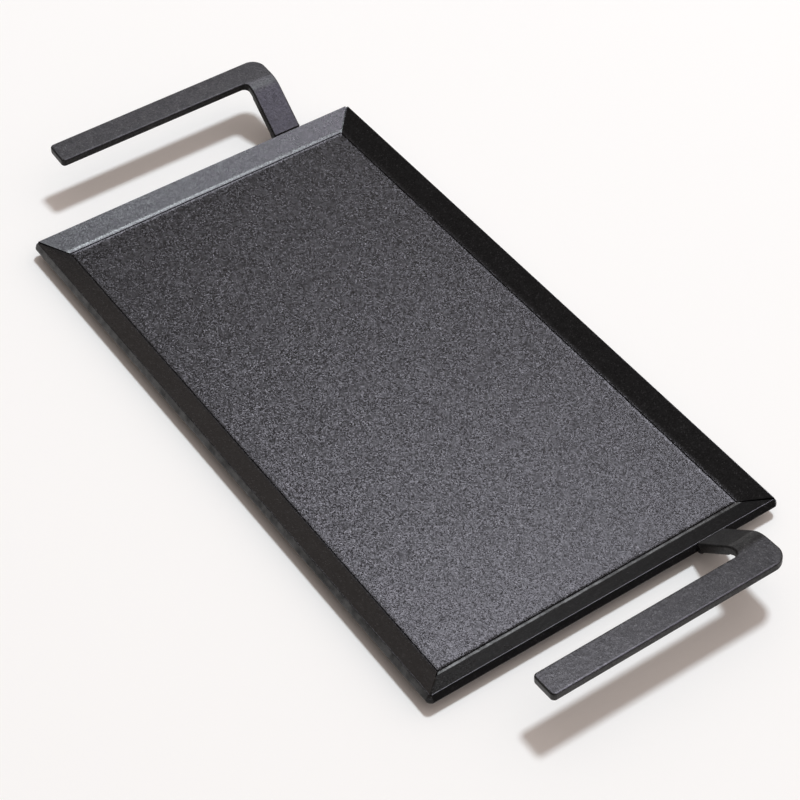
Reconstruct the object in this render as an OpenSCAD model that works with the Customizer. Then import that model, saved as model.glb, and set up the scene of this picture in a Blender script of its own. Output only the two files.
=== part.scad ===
// Camp griddle plate: a folded steel pan with mitred walls and two welded strip handles.
// Millimetres, +Z up. X runs along the pan and Y across it, with the legs of both handles on the +Y side.
// The origin is the middle of the underside.

/* [Pan] */
// Length of the cooking floor between the end folds
floor_l = 295; // [200:1:420]
// Width of the cooking floor between the side folds
floor_w = 150; // [130:1:260]
// Thickness of the steel plate, for pan and handles alike
plate_t = 4; // [3:0.5:6]
// Length of each wall up its slope, on the inside
wall_len = 11.8; // [8:0.1:25]
// Slope of the walls above level
wall_angle = 26; // [15:1:35]
// Radius of the half-round line scored along each fold
score_r = 0.35; // [0.2:0.05:0.6]

/* [Corners] */
// Gap between the wall ends at a mitre
mitre_gap = 0.4; // [0.2:0.1:0.8]
// Depth of the seam that the weld leaves open on the inside
seam_depth = 1.5; // [0.5:0.1:2]
// Radius of the relief hole at each fold corner
relief_r = 1; // [0.6:0.1:1.4]
// Radius that the corners of the rim are dressed to after welding
rim_corner_r = 4; // [2:0.5:6]

/* [Handles] */
// Slope of the leg above level
leg_angle = 41; // [36:1:60]
// Length of the leg's upper face, from the rim to the line of the bend
leg_len = 26; // [20:0.5:50]
// Width of the leg
leg_w = 14.4; // [10:0.2:24]
// Distance of the leg's outer edge from the middle of the pan
leg_edge = 58.5; // [50:0.5:64]
// Slope that the arm keeps after the bend
arm_rise = 4; // [0:1:12]
// Inside radius of the bend, on the underside
bend_r = 10; // [4:0.5:14]
// Distance from the line of the bend to the arm's inner edge
arm_setback = 4.8; // [4:0.1:12]
// Width of the arm
arm_w = 13; // [9:0.5:22]
// Overall length of the arm, leg included
arm_len = 115; // [80:1:122]
// Radius of the outer corner between leg and arm
elbow_r = 7; // [3:0.5:8]
// Radius of the inner corner between leg and arm
crook_r = 3; // [1:0.5:5]
// Radius of the corners at the arm's free end
tip_r = 2; // [0.5:0.5:4]
// Radius of the fillets where the leg stands on the rim
root_r = 1.2; // [0.5:0.1:2]

/* [Handle welds] */
// Depth of the joint left unwelded below the inner face
weld_land = 1.2; // [0.8:0.1:2]
// Width of the weld groove up the back of the leg
weld_w = 3; // [2:0.5:6]
// Height of the weld's crown above the groove
weld_crown = 0.6; // [0.2:0.1:1]

/* [Hidden] */
$fn = 96;

wall_run = wall_len * cos(wall_angle);
wall_rise = wall_len * sin(wall_angle);
// How far the rim's outer edge stands out from the fold
rim_out = wall_run + plate_t * sin(wall_angle);
// Each wall end is cut back by half the gap, measured square to the mitre
end_trim = mitre_gap / 2 * sqrt(1 + pow(cos(wall_angle), 2));
// The mitre line: its length, its slope and the half angle that the wall ends open to
mitre_len = wall_len * sqrt(1 + pow(cos(wall_angle), 2));
mitre_slope = atan(tan(wall_angle) / sqrt(2));
mitre_open = asin(sin(wall_angle) / sqrt(2));

bend_angle = leg_angle - arm_rise;
bend_top_r = bend_r + plate_t;
arm_reach = arm_setback + arm_w;
leg_inner_y = leg_edge - leg_w;
arm_tip_y = leg_edge - arm_len;
root_x = -leg_len * cos(bend_angle);
// Space past a cut that a cutting block reaches
over = 60;

steel = [0.23, 0.23, 0.25];
handle_steel = [0.27, 0.27, 0.28];
weld_steel = [0.16, 0.16, 0.17];

// Flat wall blank for a fold of this length, hinged up about the fold's inner line
module wall(fold_l) {
    half = fold_l / 2 - end_trim;
    rotate([0, -wall_angle, 0])
        translate([0, 0, -plate_t])
            linear_extrude(plate_t)
                polygon([[0, -half], [wall_len, -half - wall_run], [wall_len, half + wall_run], [0, half]]);
}

// Rounded outside of the fold: a sector of the plate's thickness about the fold's inner line
module fold(fold_l) {
    translate([0, fold_l / 2, 0])
        rotate([90, 0, 0])
            rotate([0, 0, -90])
                rotate_extrude(angle = wall_angle)
                    square([plate_t, fold_l]);
}

// One side of the pan, placed with its fold at this distance from the middle
module folded_side(distance, fold_l) {
    translate([distance, 0, plate_t]) {
        wall(fold_l);
        fold(fold_l);
    }
}

// Half-round line along a fold, on the inside
module score_line(distance, fold_l) {
    translate([distance, fold_l / 2, plate_t])
        rotate([90, 0, 0])
            cylinder(r = score_r, h = fold_l);
}

module at_corners() {
    for (sx = [-1, 1], sy = [-1, 1])
        translate([sx * floor_l / 2, sy * floor_w / 2, 0])
            children();
}

// Rounds one corner of the rim, upright, at +X +Y. The round meets the rim's edges at a slight angle.
module rim_corner_cut() {
    inset = rim_corner_r * cos(10);
    translate([floor_l / 2 + rim_out - inset, floor_w / 2 + rim_out - inset, 0])
        linear_extrude(2 * (plate_t + wall_rise))
            difference() {
                square(2 * inset);
                circle(r = rim_corner_r);
            }
}

module pan() {
    color(steel)
        difference() {
            union() {
                translate([-floor_l / 2, -floor_w / 2, 0])
                    cube([floor_l, floor_w, plate_t]);
                for (turn = [0, 180]) {
                    rotate([0, 0, turn])
                        folded_side(floor_l / 2, floor_w);
                    rotate([0, 0, turn + 90])
                        folded_side(floor_w / 2, floor_l);
                }
            }
            for (turn = [0, 180]) {
                rotate([0, 0, turn])
                    score_line(floor_l / 2, floor_w);
                rotate([0, 0, turn + 90])
                    score_line(floor_w / 2, floor_l);
            }
            at_corners()
                translate([0, 0, -plate_t])
                    cylinder(r = relief_r, h = 3 * plate_t);
            for (mx = [0, 1], my = [0, 1])
                mirror([mx, 0, 0])
                    mirror([0, my, 0])
                        rim_corner_cut();
        }
}

// Section of a corner weld, square to the mitre: the open V between the wall ends, down to the seam
module mitre_section() {
    apex = mitre_gap / 2 / sin(mitre_open);
    reach = apex + 2 * plate_t;
    difference() {
        intersection() {
            circle(r = plate_t);
            translate([-apex, 0])
                polygon([[0, 0], [reach, -reach * tan(mitre_open)], [reach, reach * tan(mitre_open)]]);
        }
        translate([seam_depth - over, -over])
            square([over, 2 * over]);
    }
}

// Turns +Z onto the mitre of the corner at +X +Y, with +X facing out of the corner
module along_mitre() {
    translate([floor_l / 2, floor_w / 2, plate_t])
        rotate([0, 0, 45])
            rotate([0, 90 - mitre_slope, 0])
                children();
}

// Weld run of the corner at +X +Y: the filled V and the plug that it leaves in the relief hole
module corner_weld() {
    color(weld_steel) {
        difference() {
            along_mitre()
                linear_extrude(mitre_len)
                    mitre_section();
            rim_corner_cut();
        }
        translate([floor_l / 2, floor_w / 2, 0])
            cylinder(r = relief_r, h = plate_t - seam_depth);
    }
}

module front_left_corner_weld() {
    corner_weld();
}

module front_right_corner_weld() {
    mirror([0, 1, 0])
        corner_weld();
}

module rear_left_corner_weld() {
    mirror([1, 0, 0])
        corner_weld();
}

module rear_right_corner_weld() {
    rotate([0, 0, 180])
        corner_weld();
}

// Puts the rim's inner edge at the front end on the Y axis
module on_front_rim() {
    translate([floor_l / 2 + wall_run, 0, plate_t + wall_rise])
        children();
}

// From the rim frame to the arm: the bend's line on the Y axis, the arm's upper face level
module arm_frame() {
    translate([leg_len * cos(leg_angle), 0, leg_len * sin(leg_angle)])
        rotate([0, -arm_rise, 0])
            children();
}

// What a corner of this radius takes off a square corner at the origin that fills the -X -Y quarter
module corner_cut(r) {
    difference() {
        translate([-r, -r])
            square(2 * r);
        translate([-r, -r])
            circle(r = r);
        translate([-2 * r, -over])
            square([r, 2 * over]);
        translate([-over, -2 * r])
            square([2 * over, r]);
    }
}

// What a fillet of this radius adds in the +X +Y quarter of an inner corner at the origin
module corner_fill(r) {
    difference() {
        square(r);
        translate([r, r])
            circle(r = r);
    }
}

// Outline of the strip seen square to the arm: leg, elbow, arm and the fillets at the root
module strip_outline() {
    difference() {
        union() {
            translate([root_x - over, leg_inner_y])
                square([over + arm_reach - root_x, leg_w]);
            translate([arm_setback, arm_tip_y])
                square([arm_w, arm_len]);
            translate([arm_setback, leg_inner_y])
                rotate(180)
                    corner_fill(crook_r);
            translate([root_x, leg_edge])
                corner_fill(root_r);
            translate([root_x, leg_inner_y])
                mirror([0, 1])
                    corner_fill(root_r);
        }
        translate([arm_reach, leg_edge])
            corner_cut(elbow_r);
        translate([arm_reach, arm_tip_y])
            mirror([0, 1])
                corner_cut(tip_r);
        translate([arm_setback, arm_tip_y])
            rotate(180)
                corner_cut(tip_r);
    }
}

// Section of everything under a bend of this radius, in X and Z, with the bend's line at the origin.
// The roll is a hair larger than the bend, so that it crosses both flat faces cleanly.
module under_bend(r) {
    leg_way = [-cos(bend_angle), -sin(bend_angle)];
    roll = [r * tan(bend_angle / 2), -r];
    difference() {
        polygon([[0, 0], [over, 0], [over, -over], [over * leg_way[0], -over], over * leg_way]);
        difference() {
            polygon([roll, roll + [0, 2 * r], -roll, roll + 2 * r * [leg_way[1], -leg_way[0]]]);
            translate(roll)
                circle(r = r + 0.0005);
        }
    }
}

// The bent plate that the strip is cut from, upper face through the bend's line
module bent_plate() {
    wide = arm_len + 2 * root_r;
    translate([0, leg_edge + root_r, 0])
        rotate([90, 0, 0])
            linear_extrude(wide)
                difference() {
                    under_bend(bend_top_r);
                    translate([plate_t * tan(bend_angle / 2), -plate_t])
                        under_bend(bend_r);
                }
}

// Points of the weld groove behind the handle's root, in the rim frame's X and Z
wall_back = [sin(wall_angle), -cos(wall_angle)];
groove_root = weld_land * wall_back;
groove_rim = plate_t / cos(leg_angle - wall_angle) * wall_back;
groove_leg = plate_t * [sin(leg_angle), -cos(leg_angle)] + weld_w * [cos(leg_angle), sin(leg_angle)];

// Extrudes an outline in X and Z across the leg's width
module across_leg(past = 0) {
    translate([0, leg_edge - leg_w / 2, 0])
        rotate([90, 0, 0])
            linear_extrude(leg_w + 2 * past, center = true)
                children();
}

// Outline that cuts the groove, reaching past the rim's face and past the back of the leg
module groove_cut() {
    past_rim = 2 * groove_root - groove_leg;
    past_leg = 2 * groove_leg - groove_root;
    polygon([past_rim, past_rim + 3 * plate_t * wall_back, past_leg + 3 * plate_t * wall_back, past_leg]);
}

// Handle of the front end: the strip, cut square to the wall at its root and grooved behind for the weld
module handle() {
    color(handle_steel)
        on_front_rim()
            difference() {
                arm_frame()
                    intersection() {
                        bent_plate();
                        translate([0, 0, -over])
                            linear_extrude(2 * over)
                                strip_outline();
                    }
                rotate([0, -wall_angle, 0])
                    translate([-2 * over, -2 * over, -over])
                        cube([2 * over, 4 * over, 2 * over]);
                across_leg(past = 2 * root_r)
                    groove_cut();
            }
}

// Weld run behind the root of the front handle: the groove, closed by a crown of this height
module handle_weld() {
    chord = groove_leg - groove_rim;
    crown_r = (chord * chord / 4 + weld_crown * weld_crown) / (2 * weld_crown);
    out = [chord[1], -chord[0]] / norm(chord);
    color(weld_steel)
        on_front_rim()
            across_leg()
                intersection() {
                    polygon([groove_root, 2 * groove_rim - groove_root, 2 * groove_leg - groove_root]);
                    translate((groove_rim + groove_leg) / 2 - (crown_r - weld_crown) * out)
                        circle(r = crown_r);
                }
}

module front_handle() {
    handle();
}

module rear_handle() {
    mirror([1, 0, 0])
        handle();
}

module front_handle_weld() {
    handle_weld();
}

module rear_handle_weld() {
    mirror([1, 0, 0])
        handle_weld();
}

pan();
front_handle();
rear_handle();
front_left_corner_weld();
front_right_corner_weld();
rear_left_corner_weld();
rear_right_corner_weld();
front_handle_weld();
rear_handle_weld();
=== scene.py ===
"""Looks of the camp griddle plate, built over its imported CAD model.

Metres, in the part's own frame: +X along the pan to the front handle, +Y to the side of the
legs, +Z up. Left and right are those of someone who looks along +X.
"""

import math
from collections import namedtuple

import bmesh
import bpy
from mathutils import Matrix, Vector


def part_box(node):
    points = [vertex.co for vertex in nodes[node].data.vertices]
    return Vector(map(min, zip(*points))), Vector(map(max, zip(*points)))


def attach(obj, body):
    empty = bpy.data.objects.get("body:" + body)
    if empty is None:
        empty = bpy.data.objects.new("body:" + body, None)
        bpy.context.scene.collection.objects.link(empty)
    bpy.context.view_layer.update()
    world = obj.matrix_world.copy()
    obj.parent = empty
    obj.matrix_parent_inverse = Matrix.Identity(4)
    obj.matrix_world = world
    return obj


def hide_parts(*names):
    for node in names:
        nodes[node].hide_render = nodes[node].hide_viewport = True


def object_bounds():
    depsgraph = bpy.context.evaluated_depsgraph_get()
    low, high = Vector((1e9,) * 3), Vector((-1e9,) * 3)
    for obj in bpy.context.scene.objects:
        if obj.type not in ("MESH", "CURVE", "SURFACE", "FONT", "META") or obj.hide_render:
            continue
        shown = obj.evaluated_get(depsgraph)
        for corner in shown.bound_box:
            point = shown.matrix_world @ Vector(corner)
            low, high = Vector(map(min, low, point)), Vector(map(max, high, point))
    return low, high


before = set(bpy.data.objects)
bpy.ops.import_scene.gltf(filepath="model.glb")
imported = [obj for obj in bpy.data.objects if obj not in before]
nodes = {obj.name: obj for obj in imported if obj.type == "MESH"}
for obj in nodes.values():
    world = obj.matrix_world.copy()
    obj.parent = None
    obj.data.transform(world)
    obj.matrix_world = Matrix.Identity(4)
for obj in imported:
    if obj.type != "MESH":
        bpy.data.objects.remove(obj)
cad_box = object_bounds()

MM = 0.001

# The folded plate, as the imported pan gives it
PLATE = 4 * MM
WALL_SLOPE = math.radians(26)
pan_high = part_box("pan")[1]
WALL_RISE = pan_high.z - PLATE
WALL_RUN = WALL_RISE / math.tan(WALL_SLOPE)
WALL_LEN = WALL_RISE / math.sin(WALL_SLOPE)
RIM_OUT = WALL_RUN + PLATE * math.sin(WALL_SLOPE)
HALF_L = pan_high.x - RIM_OUT
HALF_W = pan_high.y - RIM_OUT

# Soft edges that tumbling and the coat leave on the plates, and the steps of each round
RIM_IN_R = 0.3 * MM
RIM_OUT_R = 0.8 * MM
STRIP_EDGE_R = 0.8 * MM
INNER_STEPS = 5
OUTER_STEPS = 6
STRIP_EDGE_STEPS = 4

# The fold: half the width of its round, and the fine line scored along its middle
FOLD_HALF = 2.0 * MM
SCORE_HALF = 0.36 * MM
SCORE_INSET = 0.35 * MM
SCORE_DEPTH = 0.5 * MM

# Where the flat of the floor ends inside the fold line, and where the wall's flat starts past the
# fold's round
FLOOR_EDGE = 4 * MM
WALL_START = 0.4 * MM

# The mitre seam: half its gap at the fold, at the rim and at the relief hole, its depth, and the
# skin of weld left under it
SEAM_HALF_FOLD = 0.3 * MM
SEAM_HALF_RIM = 0.7 * MM
RELIEF_HALF = 0.4 * MM
SEAM_DEPTH = 1.5 * MM
SEAM_SKIN = 0.1 * MM
SEAM_STEPS = 6

# Points beside each corner, for its round and for the turn of the shading between two walls
CORNER_RUNS = (4.4 * MM, 2.6 * MM, 1.3 * MM)

# The upright round that the rim's corners are dressed to, and its centre's distance from the
# rim's edges
RIM_CORNER_R = 4 * MM
RIM_CORNER_IN = RIM_CORNER_R * math.cos(math.radians(10))

# The pan's four corners: the signs of X and Y, in order round the floor
CORNERS = {
    "front_left": (1, 1),
    "rear_left": (-1, 1),
    "rear_right": (-1, -1),
    "front_right": (1, -1),
}

# The handles' legs: their two sides, and how far the weld groove behind them reaches
LEG_SIDES = (44.1 * MM, 58.5 * MM)
LEG_GROOVE = 4.2 * MM

# On a handle, a face this near the rim rests on it, and one with this much of its normal up or
# more isn't an underside
ON_RIM = 0.1 * MM
SIDE_FACE_Z = -0.1

# Edges that stay crisp in the shading, edges that get a round, and faces that count as one
PAN_SHARP = math.radians(32)
STRIP_SHARP = math.radians(40)
STRIP_CRISP = math.radians(40)
STRIP_FLAT = math.radians(1)

# Points closer than this are one point, on the pan, on the handles and at the handles' roots, and
# edges of the pan shorter than a sliver are dropped
PAN_MERGE = 0.002 * MM
STRIP_MERGE = 0.005 * MM
ROOT_MERGE = 0.15 * MM
PAN_SLIVER = 0.001 * MM

# How the coat's gloss is painted, where 1 is a painted highlight, 0 is the coat as baked and -1 is
# painted shade. The coat is smoother along the end folds. A highlight is painted on the lip at the
# front, less so towards the left, and on the rim's right-hand edge. Painted shade lies on the front
# edge, on the front wall towards its left end and, a little, on the rear wall towards its right
# end.
FOLD_SMOOTHING = 0.2
LIP_HIGHLIGHT = 1.0
LIP_HIGHLIGHT_FADE = 0.4
EDGE_HIGHLIGHT = 0.44
EDGE_SHADE = -1.0
FRONT_WALL_SHADE = -0.9
REAR_WALL_SHADE = -0.22

# How near the rim's edge face a point counts as on it, and how near an end wall as on that wall
EDGE_REACH = 0.03 * MM
END_REACH = MM

# How strong the highlight painted into the front handle's gloss is, at its leg and at its tip
GRIP_HIGHLIGHT = (0.25, 0.42)

# How painted highlight and shade act on the coat: how unevenly the highlight breaks into glints,
# how many times the baked coat's gloss a place of painted highlight and one of painted shade have,
# how much smoother the painted gloss makes the coat, and how much of the grains' tilt it leaves
HIGHLIGHT_SPREAD = 0.35
HIGHLIGHT_GLOSS = 6.6
SHADE_GLOSS = 0.1
GLOSS_PAINT_SMOOTHING = 0.45
GLOSS_PAINT_TILT = 0.4

# How much of the floor's grain the smoother walls keep
WALL_GRAIN = 0.45

# The coat's patches: their fineness per metre, and the parts of the noise that are drawn out for
# the patches and for the glints that the painted highlight breaks into
CLOUD_SCALE = 220.0
PATCH_SPAN = (0.3, 0.7)
GLINT_SPOT_SPAN = (0.38, 0.62)

# The coat's grains: the share with the plain colour, the share below the palest flecks, how much
# their gloss and roughness vary, and the slow wave's fineness against theirs
PLAIN_SHARE = 0.35
FLECK_SHARE = 0.94
GLINT_SPREAD = 0.35
SHEEN_SPREAD = 0.015
WAVE_SCALE = 0.25

# The table top
TABLE_HALF = 4
TABLE_GAP = 0.05 * MM
TABLE_WHITE = (0.95, 0.95, 0.95, 1)
TABLE_ROUGHNESS = 0.9
TABLE_GLOSS = 0.1

# Warm room light: its colour, where it is strongest, and its level on the dark and bright sides
ROOM_WARM = (1, 0.86, 0.78)
ROOM_TOWARDS = (0.2, 0.62, 0.5)
ROOM_LEVELS = (0.1, 0.9)

# The lamp that casts the shadows
KEY_PLACE = (-0.5, 1.42, 4.35)
KEY_POWER = 522
KEY_RADIUS = 0.36
KEY_COOL = (0.88, 0.955, 1)

# Panels and lamps that show only in the gloss: direction, strength, size in degrees and colour
GLOSS_LAMPS = (
    ("back_panel", (-0.38, 0.33, 0.86), 2.5, 24, (0.88, 0.87, 1)),
    ("side_panel", (0.45, 0.40, 0.80), 4.05, 36, (0.79, 0.753, 1)),
    ("low_back_lamp", (-0.87, 0.37, 0.33), 0.12, 16, (0.9, 0.95, 1)),
    ("high_side_lamp", (0.08, 0.55, 0.83), 1.1, 10, (0.93, 0.84, 1)),
)

# A wide soft fill that shows only in the matt colour
ROOM_FILL = ("room_fill", (0, 0.2, 1), 0.32, 150, ROOM_WARM)

# The camera, fitted to the pan's folds and rim and to the handles' edges
CAMERA_AZIMUTH = math.radians(56.919)
CAMERA_ELEVATION = math.radians(45.872)
CAMERA_ROLL = math.radians(-1.859)
CAMERA_TARGET = Vector((18.9, -4.2, 4.0)) * MM
CAMERA_DISTANCE = 952.3 * MM
FOCAL_PIXELS = 2215.5
FRAME_PIXELS = 800
SENSOR_WIDTH = 36


def steps(start, end, count):
    """Evenly spaced values from start to end, both included."""
    return [start + (end - start) * i / count for i in range(count + 1)]


# Cross-section of the folded plate

# One point of it: how far out from the fold line and how high it lies on the inner face, how far
# the plate leans there, the depth in the plate, and half the seam's gap
SectionPoint = namedtuple("SectionPoint", "out height lean depth gap")


def on_wall(along, depth):
    """A point of the wall's section: its distance up the slope and its depth in the plate."""
    gap = SEAM_HALF_FOLD + (SEAM_HALF_RIM - SEAM_HALF_FOLD) * along / WALL_LEN
    out = along * math.cos(WALL_SLOPE)
    height = PLATE + along * math.sin(WALL_SLOPE)
    return SectionPoint(out, height, WALL_SLOPE, depth, gap)


def fold_section():
    """The round inner fold from floor to wall, with the scored line sunk in its middle."""
    radius = FOLD_HALF / math.tan(WALL_SLOPE / 2)
    middle = (FOLD_HALF - SCORE_INSET) / radius
    score = SCORE_HALF / radius
    turns = [(turn, 0, 0) for turn in steps(0, middle - score, INNER_STEPS)]
    turns += [(middle + side * score / 2, SCORE_DEPTH, 0) for side in (-1, 1)]
    turns += [(turn, 0, RELIEF_HALF) for turn in steps(middle + score, WALL_SLOPE, INNER_STEPS)]
    section = []
    for turn, sunk, gap in turns:
        out = -FOLD_HALF + (radius + sunk) * math.sin(turn)
        height = PLATE + radius - (radius + sunk) * math.cos(turn)
        section.append(SectionPoint(out, height, turn, 0, gap))
    return section


def rim_section():
    """Up the inner face, over the rim's two rounded edges and down the outer face to the fold."""
    section = [on_wall(FOLD_HALF + WALL_START, 0)]
    for turn in steps(0, math.pi / 2, INNER_STEPS):
        along = WALL_LEN - RIM_IN_R * (1 - math.sin(turn))
        section.append(on_wall(along, RIM_IN_R * (1 - math.cos(turn))))
    section.append(on_wall(WALL_LEN, SEAM_DEPTH))
    section.append(on_wall(WALL_LEN, SEAM_DEPTH + SEAM_SKIN))
    for turn in steps(0, math.pi / 2, OUTER_STEPS):
        along = WALL_LEN - RIM_OUT_R * (1 - math.cos(turn))
        section.append(on_wall(along, PLATE - RIM_OUT_R * (1 - math.sin(turn))))
    section.append(on_wall(0, PLATE))
    return section


def outer_fold_section():
    """The rounded outside of the fold, from the wall's outer face to the underside."""
    return [
        SectionPoint(0, PLATE, turn, PLATE, SEAM_HALF_FOLD * turn / WALL_SLOPE)
        for turn in steps(WALL_SLOPE, 0, OUTER_STEPS)[1:]
    ]


# Corners


def on_mitre(corner, out, height):
    """Where the inner faces of both walls meet at a corner, this far out and this high."""
    sx, sy = corner
    return Vector((sx * (HALF_L + out), sy * (HALF_W + out), height))


def walls_into_plate(corner, lean):
    """Unit vectors into the plate's thickness on the end wall and on the side wall at a corner."""
    sx, sy = corner
    end = Vector((sx * math.sin(lean), 0, -math.cos(lean)))
    side = Vector((0, sy * math.sin(lean), -math.cos(lean)))
    return end, side


def dressed(point):
    """A point of the rim near a corner, drawn in down the wall's slope to the corner's round."""
    across = abs(point.x) - pan_high.x + RIM_CORNER_IN
    along = abs(point.y) - pan_high.y + RIM_CORNER_IN
    reach = math.hypot(across, along)
    if min(across, along) <= 0 or reach <= RIM_CORNER_R:
        return point
    pull = 1 - RIM_CORNER_R / reach
    return Vector(
        (
            point.x - math.copysign(pull * across, point.x),
            point.y - math.copysign(pull * along, point.y),
            point.z - pull * max(across, along) * math.tan(WALL_SLOPE),
        )
    )


def seam_bottom(point):
    """How deep in the plate the mitre seam, or the weld under it, meets this point's loop."""
    if not point.gap:
        return point.depth
    if point.depth <= SEAM_DEPTH:
        return SEAM_DEPTH
    skin = SEAM_DEPTH + SEAM_SKIN
    return skin + (PLATE - skin) * (1 - point.lean / WALL_SLOPE)


def corner_points(corner, point):
    """Where a point of the section runs round a corner, into the mitre seam and out of it."""
    sx, sy = corner
    mitre = on_mitre(corner, point.out, point.height)
    end_in, side_in = walls_into_plate(corner, point.lean)
    end_edge = mitre + Vector((0, -sy * point.gap, 0))
    side_edge = mitre + Vector((-sx * point.gap, 0, 0))
    bottom = seam_bottom(point)
    column = [mitre + Vector((0, -sy * run, 0)) + point.depth * end_in for run in CORNER_RUNS]
    column += [end_edge + point.depth * end_in, end_edge + bottom * end_in]
    for part in steps(0, 1, SEAM_STEPS)[1:-1]:
        column.append(mitre + bottom * end_in.lerp(side_in, part).normalized())
    column += [side_edge + bottom * side_in, side_edge + point.depth * side_in]
    for run in reversed(CORNER_RUNS):
        column.append(mitre + Vector((-sx * run, 0, 0)) + point.depth * side_in)
    column = [dressed(place) for place in column]
    return column if sx * sy > 0 else column[::-1]


def loop_points(point):
    """The loop that a point of the section makes round the whole pan."""
    return [place for corner in CORNERS.values() for place in corner_points(corner, point)]


# Pieces


def finish_mesh(bm, name, sharp_angle):
    """Turns a bmesh into a piece with smooth rounds and flat faces, on the part's only body."""
    bmesh.ops.recalc_face_normals(bm, faces=bm.faces)
    mesh = bpy.data.meshes.new(name)
    bm.to_mesh(mesh)
    bm.free()
    mesh.shade_smooth()
    mesh.set_sharp_from_angle(angle=sharp_angle)
    piece = bpy.data.objects.new(name, mesh)
    bpy.context.scene.collection.objects.link(piece)
    keep_flat(piece)
    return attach(piece, "root")


def keep_flat(piece):
    """Keeps flat faces flat beside their rounded edges."""
    normals = piece.modifiers.new("flat_faces", "WEIGHTED_NORMAL")
    normals.keep_sharp = True


def gloss_painted_at(section, point):
    """The gloss painted at a point of the pan, from -1, painted shade, to 1, a painted highlight.
    """
    on_end = abs(point.x) >= HALF_L + section.out - END_REACH
    front = on_end and point.x > 0
    leftwards = (point.y + HALF_W) / (2 * HALF_W)
    if section.out > WALL_RUN - EDGE_REACH:
        if on_end:
            return EDGE_SHADE if front else 0
        return EDGE_HIGHLIGHT if point.y < 0 else 0
    if section.depth or not section.lean or not on_end:
        return 0
    if section.lean == WALL_SLOPE:
        return FRONT_WALL_SHADE * leftwards if front else REAR_WALL_SHADE * (1 - leftwards)
    return LIP_HIGHLIGHT - LIP_HIGHLIGHT_FADE * leftwards if front and section.gap else FOLD_SMOOTHING


def build_pan():
    """The pan: a loop round the floor, drawn out over fold and rim and back to the underside."""
    floor_edge = SectionPoint(-FLOOR_EDGE, PLATE, 0, 0, 0)
    sections = [floor_edge, *fold_section(), *rim_section(), *outer_fold_section()]
    loops = [loop_points(point) for point in sections]
    bm = bmesh.new()
    place = bm.verts.layers.int.new("place")
    # Painted highlight and painted shade in the gloss at each point, and how far the plate leans
    painted_gloss = bm.verts.layers.float.new("painted_gloss")
    calm = bm.verts.layers.float.new("calm")
    bmesh.ops.create_circle(bm, cap_ends=True, radius=1, segments=len(loops[0]))
    for index, vert in enumerate(bm.verts):
        vert[place] = index
        vert.co = loops[0][index]
    for section, loop in zip(sections[1:], loops[1:]):
        edges = [edge for edge in bm.edges if edge.is_boundary]
        grown = bmesh.ops.extrude_edge_only(bm, edges=edges)["geom"]
        for vert in [item for item in grown if isinstance(item, bmesh.types.BMVert)]:
            vert.co = loop[vert[place]]
            vert[painted_gloss] = gloss_painted_at(section, vert.co)
            vert[calm] = section.lean / WALL_SLOPE
    bmesh.ops.holes_fill(bm, edges=[edge for edge in bm.edges if edge.is_boundary], sides=0)
    bmesh.ops.remove_doubles(bm, verts=bm.verts, dist=PAN_MERGE)
    bmesh.ops.dissolve_degenerate(bm, edges=bm.edges, dist=PAN_SLIVER)
    pan = finish_mesh(bm, "griddle_pan", PAN_SHARP)
    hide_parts("pan")
    return pan


def build_corner_weld(name, corner):
    """The dressed weld in the open V outside a mitre, flush with both walls and the rim."""
    sx, sy = corner
    outside = [point for point in rim_section() if point.depth > SEAM_DEPTH]
    outside += outer_fold_section()[:-1]
    bm = bmesh.new()
    for out, height, lean, depth, gap in outside:
        mitre = on_mitre(corner, out, height)
        end_in, side_in = walls_into_plate(corner, lean)
        for part in steps(0, 1, SEAM_STEPS):
            bm.verts.new(dressed(mitre + depth * end_in.lerp(side_in, part).normalized()))
        bm.verts.new(dressed(mitre + Vector((0, -sy * gap, 0)) + depth * end_in))
        bm.verts.new(dressed(mitre + Vector((-sx * gap, 0, 0)) + depth * side_in))
    end_in, side_in = walls_into_plate(corner, WALL_SLOPE)
    root = (SEAM_DEPTH + SEAM_SKIN) * (end_in + side_in).normalized()
    for along in (0, WALL_LEN):
        foot = on_wall(along, 0)
        bm.verts.new(dressed(on_mitre(corner, foot.out, foot.height) + root))
    hull = bmesh.ops.convex_hull(bm, input=bm.verts)
    spare = list({*hull["geom_interior"], *hull["geom_unused"]})
    bmesh.ops.delete(bm, geom=spare, context="VERTS")
    run = finish_mesh(bm, f"{name}_corner_run", PAN_SHARP)
    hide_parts(f"{name}_corner_weld")
    return run


def from_root(name, point):
    """How far a point of a handle lies out from the rim's edge face, where the leg stands on it."""
    side = 1 if name == "front_handle" else -1
    across = side * point.x - HALF_L - WALL_RUN
    return across * math.cos(WALL_SLOPE) + (point.z - pan_high.z) * math.sin(WALL_SLOPE)


def shows(name, face):
    """Whether a handle's face isn't an underside, or rests on the rim."""
    return face.normal.z > SIDE_FACE_Z or from_root(name, face.calc_center_median()) < ON_RIM


def is_crisp(name, edge):
    """Whether an edge of a handle is sharp and lies outside the weld's groove."""
    above = all(shows(name, face) for face in edge.link_faces)
    clear = min(from_root(name, vert.co) for vert in edge.verts) > LEG_GROOVE
    return edge.calc_face_angle(0) > STRIP_CRISP and (above or clear)


def paint_grip_highlight(bm, name):
    """Paints a highlight into a handle's gloss, stronger and stronger towards its tip."""
    painted_gloss = bm.verts.layers.float.new("painted_gloss")
    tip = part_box(name)[0].y
    for vert in bm.verts:
        along = (LEG_SIDES[1] - vert.co.y) / (LEG_SIDES[1] - tip)
        vert[painted_gloss] = GRIP_HIGHLIGHT[0] + (GRIP_HIGHLIGHT[1] - GRIP_HIGHLIGHT[0]) * along


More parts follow.
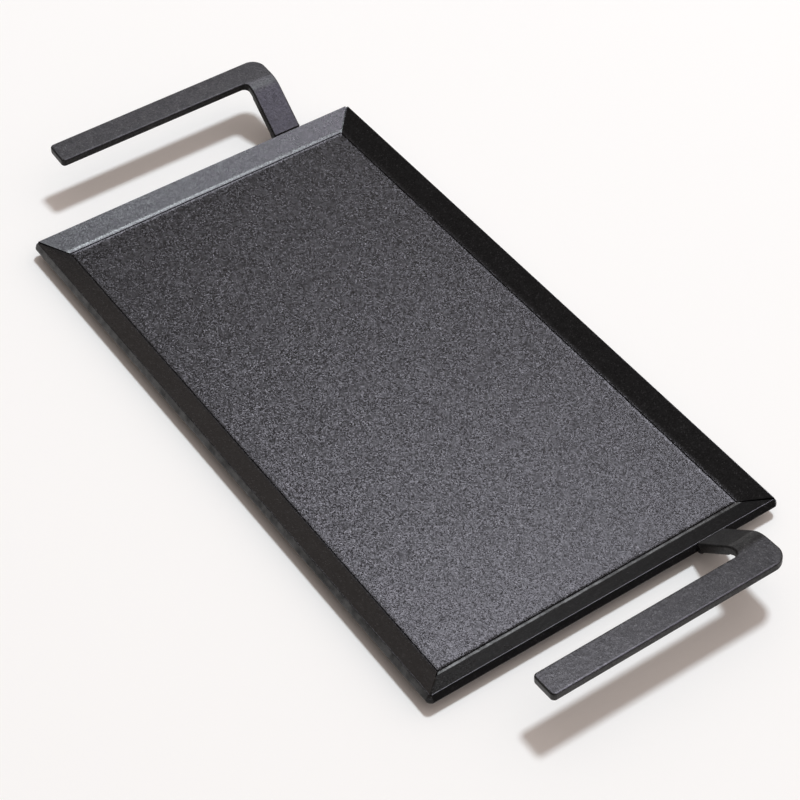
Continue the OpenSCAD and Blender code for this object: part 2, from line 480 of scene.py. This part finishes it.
def build_handle(name):
    """A bent strip with its edges rounded, made from its CAD node's faces."""
    bm = bmesh.new()
    bm.from_mesh(nodes[name].data)
    bm.transform(nodes[name].matrix_world)
    bmesh.ops.remove_doubles(bm, verts=bm.verts, dist=STRIP_MERGE)
    root = [vert for vert in bm.verts if from_root(name, vert.co) < LEG_GROOVE]
    for vert in root:
        vert.co.y = min(max(vert.co.y, LEG_SIDES[0]), LEG_SIDES[1])
    bmesh.ops.remove_doubles(bm, verts=root, dist=ROOT_MERGE)
    bmesh.ops.dissolve_degenerate(bm, edges=bm.edges, dist=STRIP_MERGE)
    bmesh.ops.dissolve_limit(bm, angle_limit=STRIP_FLAT, verts=bm.verts, edges=bm.edges)
    bmesh.ops.bevel(
        bm,
        geom=[edge for edge in bm.edges if is_crisp(name, edge)],
        offset=STRIP_EDGE_R,
        segments=STRIP_EDGE_STEPS,
        profile=0.5,
        affect="EDGES",
        clamp_overlap=False,
        material=-1,
    )
    # The front handle gets a highlight painted into its gloss
    if name == "front_handle":
        paint_grip_highlight(bm, name)
    strip = finish_mesh(bm, f"{name}_strip", STRIP_SHARP)
    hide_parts(name)
    return strip


# Finishes


def node(tree, kind, place, **sockets):
    """A shader node at a place in its tree, with constants on the sockets that are named."""
    made = tree.nodes.new(kind)
    made.location = place
    for name, value in sockets.items():
        made.inputs[name.replace("_", " ")].default_value = value
    return made


def mesh_value(tree, place, layer):
    """A value that the piece's own mesh carries, or 0 where it carries none."""
    made = node(tree, "ShaderNodeAttribute", place)
    made.attribute_name = layer
    return made.outputs["Fac"]


def mapped(tree, place, value, to, span=(0, 1)):
    """A value with its span drawn out to another one, and held at both ends."""
    ends = {"From_Min": span[0], "From_Max": span[1], "To_Min": to[0], "To_Max": to[1]}
    made = node(tree, "ShaderNodeMapRange", place, **ends)
    tree.links.new(value, made.inputs["Value"])
    return made.outputs["Result"]


def worked_out(tree, kind, place, operation, *values):
    """A Math or Vector Math node's result, from sockets to link and constants to set."""
    made = node(tree, kind, place)
    made.operation = operation
    for socket, value in zip(made.inputs, values):
        if isinstance(value, bpy.types.NodeSocket):
            tree.links.new(value, socket)
        else:
            socket.default_value = value
    return made.outputs[0]


def times(colour, factor):
    """A colour made this many times lighter."""
    return (*[part * factor for part in colour], 1)


def coat_colour(tree, pick, keep, cloud, colour, flecks, mottle):
    """Plain and paler grains, drawn together where the coat is smoother, over slow patches."""
    fleck_ramp = node(tree, "ShaderNodeValToRGB", (-400, -50))
    elements = fleck_ramp.color_ramp.elements
    elements[0].position = PLAIN_SHARE
    elements[0].color = times(colour, 1)
    elements[1].color = times(colour, flecks[1])
    elements.new(FLECK_SHARE).color = times(colour, flecks[0])
    tree.links.new(pick, fleck_ramp.inputs["Fac"])

    specks = node(tree, "ShaderNodeMix", (-200, 50))
    specks.data_type = "RGBA"
    average = (
        PLAIN_SHARE
        + (FLECK_SHARE - PLAIN_SHARE) * (1 + flecks[0]) / 2
        + (1 - FLECK_SHARE) * (flecks[0] + flecks[1]) / 2
    )
    plain, speckled = [socket for socket in specks.inputs if socket.type == "RGBA"]
    plain.default_value = times(colour, average)
    tree.links.new(fleck_ramp.outputs["Color"], speckled)
    tree.links.new(keep, specks.inputs[0])
    mixed = [socket for socket in specks.outputs if socket.type == "RGBA"][0]

    patches = mapped(tree, (-400, -300), cloud, (1 - mottle, 1 + mottle), PATCH_SPAN)
    return worked_out(tree, "ShaderNodeVectorMath", (-200, -100), "MULTIPLY", mixed, patches)


def coat_gloss(tree, pick, keep, uneven_paint, gloss_paint, gloss_level):
    """The gloss level: each grain's own, raised by painted highlight and lowered by painted shade.
    """
    highlight_span = (FOLD_SMOOTHING * (1 + HIGHLIGHT_SPREAD), LIP_HIGHLIGHT * (1 + HIGHLIGHT_SPREAD))
    shine_ends = (gloss_level, HIGHLIGHT_GLOSS * gloss_level)
    shine = mapped(tree, (-400, -900), uneven_paint, shine_ends, highlight_span)
    spread = mapped(tree, (-600, -1250), pick, (-GLINT_SPREAD, GLINT_SPREAD))
    glint = worked_out(tree, "ShaderNodeMath", (-400, -1150), "MULTIPLY_ADD", spread, keep, 1)
    level = worked_out(tree, "ShaderNodeMath", (-200, -900), "MULTIPLY", shine, glint)
    shade_factor = mapped(tree, (-400, -1350), gloss_paint, (SHADE_GLOSS, 1), (-1, 0))
    return worked_out(tree, "ShaderNodeMath", (-200, -1150), "MULTIPLY", level, shade_factor)


def coat_roughness(tree, cloud, uneven_paint, roughness):
    """The roughness, slightly uneven, and less where highlight is painted or the coat made
    smoother.
    """
    ends = (roughness - SHEEN_SPREAD, roughness + SHEEN_SPREAD)
    sheen = mapped(tree, (-600, -500), cloud, ends, PATCH_SPAN)
    smoother = -GLOSS_PAINT_SMOOTHING * roughness
    return worked_out(
        tree, "ShaderNodeMath", (-400, -600), "MULTIPLY_ADD", uneven_paint, smoother, sheen
    )


def coat_grain(tree, grains, waves, keep, gloss_paint, tilt, wave):
    """The surface's normal: a slow wave, on which each grain tilts its own way."""
    bump = node(tree, "ShaderNodeBump", (-600, 300), Strength=1.0, Distance=wave)
    tree.links.new(waves, bump.inputs["Height"])
    vector = "ShaderNodeVectorMath"
    centred = worked_out(tree, vector, (-600, 120), "SUBTRACT", grains, (0.5, 0.5, 0.5))
    lean = mapped(tree, (-600, -800), gloss_paint, (tilt, GLOSS_PAINT_TILT * tilt))
    rocked = worked_out(tree, "ShaderNodeMath", (-500, 350), "MULTIPLY", lean, keep)
    normal = bump.outputs["Normal"]
    tilted = worked_out(tree, vector, (-400, 200), "MULTIPLY_ADD", centred, rocked, normal)
    return worked_out(tree, vector, (-200, 200), "NORMALIZE", tilted)


def baked_coat(
    name, colour, grain, tilt, wave, roughness, flecks, mottle, gloss_level, highlight_spread
):
    """Black coat baked on steel: grains that each tilt their own way on a slow wave, some paler.

    grain is a grain's size and wave the wave's height. flecks says how many times lighter the
    paler and the palest grains are, mottle how much the patches vary, gloss_level how strong the
    gloss is as baked, and the last argument how unevenly the painted highlight breaks into glints.
    """
    material = bpy.data.materials.new(name)
    material.use_nodes = True
    tree = material.node_tree
    shader = tree.nodes["Principled BSDF"]
    shader.inputs["Metallic"].default_value = 0
    shader.inputs["Specular IOR Level"].default_value = gloss_level

    place = node(tree, "ShaderNodeTexCoord", (-1100, 0))
    grains = node(tree, "ShaderNodeTexVoronoi", (-850, 100), Scale=1 / grain)
    waves = node(tree, "ShaderNodeTexNoise", (-850, -200), Scale=WAVE_SCALE / grain, Detail=2.0)
    clouds = node(tree, "ShaderNodeTexNoise", (-850, -500), Scale=CLOUD_SCALE, Detail=4.0)
    for texture in (grains, waves, clouds):
        tree.links.new(place.outputs["Object"], texture.inputs["Vector"])
    pick = node(tree, "ShaderNodeSeparateColor", (-600, -50))
    tree.links.new(grains.outputs["Color"], pick.inputs["Color"])
    cloud = clouds.outputs["Fac"]

    calm = mesh_value(tree, (-850, -1000), "calm")
    keep = mapped(tree, (-600, -1000), calm, (1, WALL_GRAIN))
    # The gloss painted on the mesh, as painted highlight and painted shade, broken into uneven
    # glints
    gloss_paint = mesh_value(tree, (-850, -800), "painted_gloss")
    glint_spots = mapped(tree, (-600, -650), cloud, (1 - highlight_spread, 1 + highlight_spread), GLINT_SPOT_SPAN)
    uneven_paint = worked_out(tree, "ShaderNodeMath", (-500, -750), "MULTIPLY", gloss_paint, glint_spots)

    looks = {
        "Base Color": coat_colour(
            tree, pick.outputs["Red"], keep, cloud, colour, flecks, mottle
        ),
        "Specular IOR Level": coat_gloss(
            tree, pick.outputs["Green"], keep, uneven_paint, gloss_paint, gloss_level
        ),
        "Roughness": coat_roughness(tree, cloud, uneven_paint, roughness),
        "Normal": coat_grain(
            tree, grains.outputs["Color"], waves.outputs["Fac"], keep, gloss_paint, tilt, wave
        ),
    }
    for socket, value in looks.items():
        tree.links.new(value, shader.inputs[socket])
    return material


def wear(piece, material):
    """Gives a piece one material in place of whatever it came with."""
    piece.data.materials.clear()
    piece.data.materials.append(material)


# Stage


def build_table():
    """A plain white table top under the griddle."""
    bm = bmesh.new()
    bmesh.ops.create_grid(bm, x_segments=1, y_segments=1, size=TABLE_HALF)
    mesh = bpy.data.meshes.new("table")
    bm.to_mesh(mesh)
    bm.free()
    table = bpy.data.objects.new("table", mesh)
    table.location.z = cad_box[0].z - TABLE_GAP
    bpy.context.scene.collection.objects.link(table)
    material = bpy.data.materials.new("white_table")
    material.use_nodes = True
    shader = material.node_tree.nodes["Principled BSDF"]
    shader.inputs["Base Color"].default_value = TABLE_WHITE
    shader.inputs["Roughness"].default_value = TABLE_ROUGHNESS
    shader.inputs["Specular IOR Level"].default_value = TABLE_GLOSS
    mesh.materials.append(material)


def sun(name, towards, strength, angle, colour):
    """A lamp far away in this direction, with this apparent size in degrees."""
    lamp = bpy.data.lights.new(name, "SUN")
    lamp.energy = strength
    lamp.angle = math.radians(angle)
    lamp.color = colour
    made = bpy.data.objects.new(name, lamp)
    made.rotation_euler = Vector(towards).to_track_quat("Z", "Y").to_euler()
    bpy.context.scene.collection.objects.link(made)
    return made


def build_room_light():
    """Warm room light, strongest from the side of the legs and fading to the opposite side."""
    world = bpy.data.worlds.new("studio")
    bpy.context.scene.world = world
    world.use_nodes = True
    tree = world.node_tree
    shader = tree.nodes["Background"]
    shader.inputs["Color"].default_value = (*ROOM_WARM, 1)
    direction = node(tree, "ShaderNodeTexCoord", (-800, 0))
    towards = node(tree, "ShaderNodeVectorMath", (-600, 0))
    towards.operation = "DOT_PRODUCT"
    towards.inputs[1].default_value = ROOM_TOWARDS
    tree.links.new(direction.outputs["Generated"], towards.inputs[0])
    level = mapped(tree, (-300, 0), towards.outputs["Value"], ROOM_LEVELS)
    tree.links.new(level, shader.inputs["Strength"])


def build_lights():
    """The room light, the lamp that casts the shadows, the panels in the gloss and a soft fill."""
    build_room_light()
    lamp = bpy.data.lights.new("overhead_key", "POINT")
    lamp.energy = KEY_POWER
    lamp.shadow_soft_size = KEY_RADIUS
    lamp.color = KEY_COOL
    key = bpy.data.objects.new("overhead_key", lamp)
    key.location = KEY_PLACE
    bpy.context.scene.collection.objects.link(key)
    for lamp_values in GLOSS_LAMPS:
        sun(*lamp_values).visible_diffuse = False
    sun(*ROOM_FILL).visible_glossy = False


def build_camera():
    """The photograph's viewpoint."""
    back = Vector(
        (
            math.sin(CAMERA_AZIMUTH) * math.cos(CAMERA_ELEVATION),
            -math.cos(CAMERA_AZIMUTH) * math.cos(CAMERA_ELEVATION),
            math.sin(CAMERA_ELEVATION),
        )
    )
    right = Vector((math.cos(CAMERA_AZIMUTH), math.sin(CAMERA_AZIMUTH), 0))
    up = back.cross(right)
    level = Matrix((right, up, back)).transposed()
    lens = bpy.data.cameras.new("camera")
    lens.sensor_width = SENSOR_WIDTH
    lens.lens = FOCAL_PIXELS / FRAME_PIXELS * lens.sensor_width
    camera = bpy.data.objects.new("camera", lens)
    camera.matrix_world = (
        Matrix.Translation(CAMERA_TARGET + back * CAMERA_DISTANCE)
        @ level.to_4x4()
        @ Matrix.Rotation(CAMERA_ROLL, 4, "Z")
    )
    bpy.context.scene.collection.objects.link(camera)
    bpy.context.scene.camera = camera


# The griddle, put together

griddle_coat = baked_coat(
    "griddle_coat",
    colour=(0.0036, 0.0035, 0.0036),
    grain=0.42 * MM,
    tilt=0.18,
    wave=0.03 * MM,
    roughness=0.27,
    flecks=(4, 18),
    mottle=0.1,
    gloss_level=0.2,
    highlight_spread=HIGHLIGHT_SPREAD,
)
handle_coat = baked_coat(
    "handle_coat",
    colour=(0.018, 0.0177, 0.0178),
    grain=0.5 * MM,
    tilt=0.05,
    wave=0.05 * MM,
    roughness=0.36,
    flecks=(1.8, 3),
    mottle=0.3,
    gloss_level=0.12,
    highlight_spread=0,
)
weld_coat = baked_coat(
    "weld_coat",
    colour=(0.006, 0.006, 0.0065),
    grain=0.8 * MM,
    tilt=0.2,
    wave=0.1 * MM,
    roughness=0.4,
    flecks=(2, 4),
    mottle=0.2,
    gloss_level=0.2,
    highlight_spread=HIGHLIGHT_SPREAD,
)

wear(build_pan(), griddle_coat)
for corner_name, corner_signs in CORNERS.items():
    wear(build_corner_weld(corner_name, corner_signs), griddle_coat)
for handle_name in ("front_handle", "rear_handle"):
    wear(build_handle(handle_name), handle_coat)
for run_name in ("front_handle_weld", "rear_handle_weld"):
    wear(nodes[run_name], weld_coat)

build_table()
build_lights()
build_camera()
bpy.context.scene.view_settings.view_transform = "Standard"
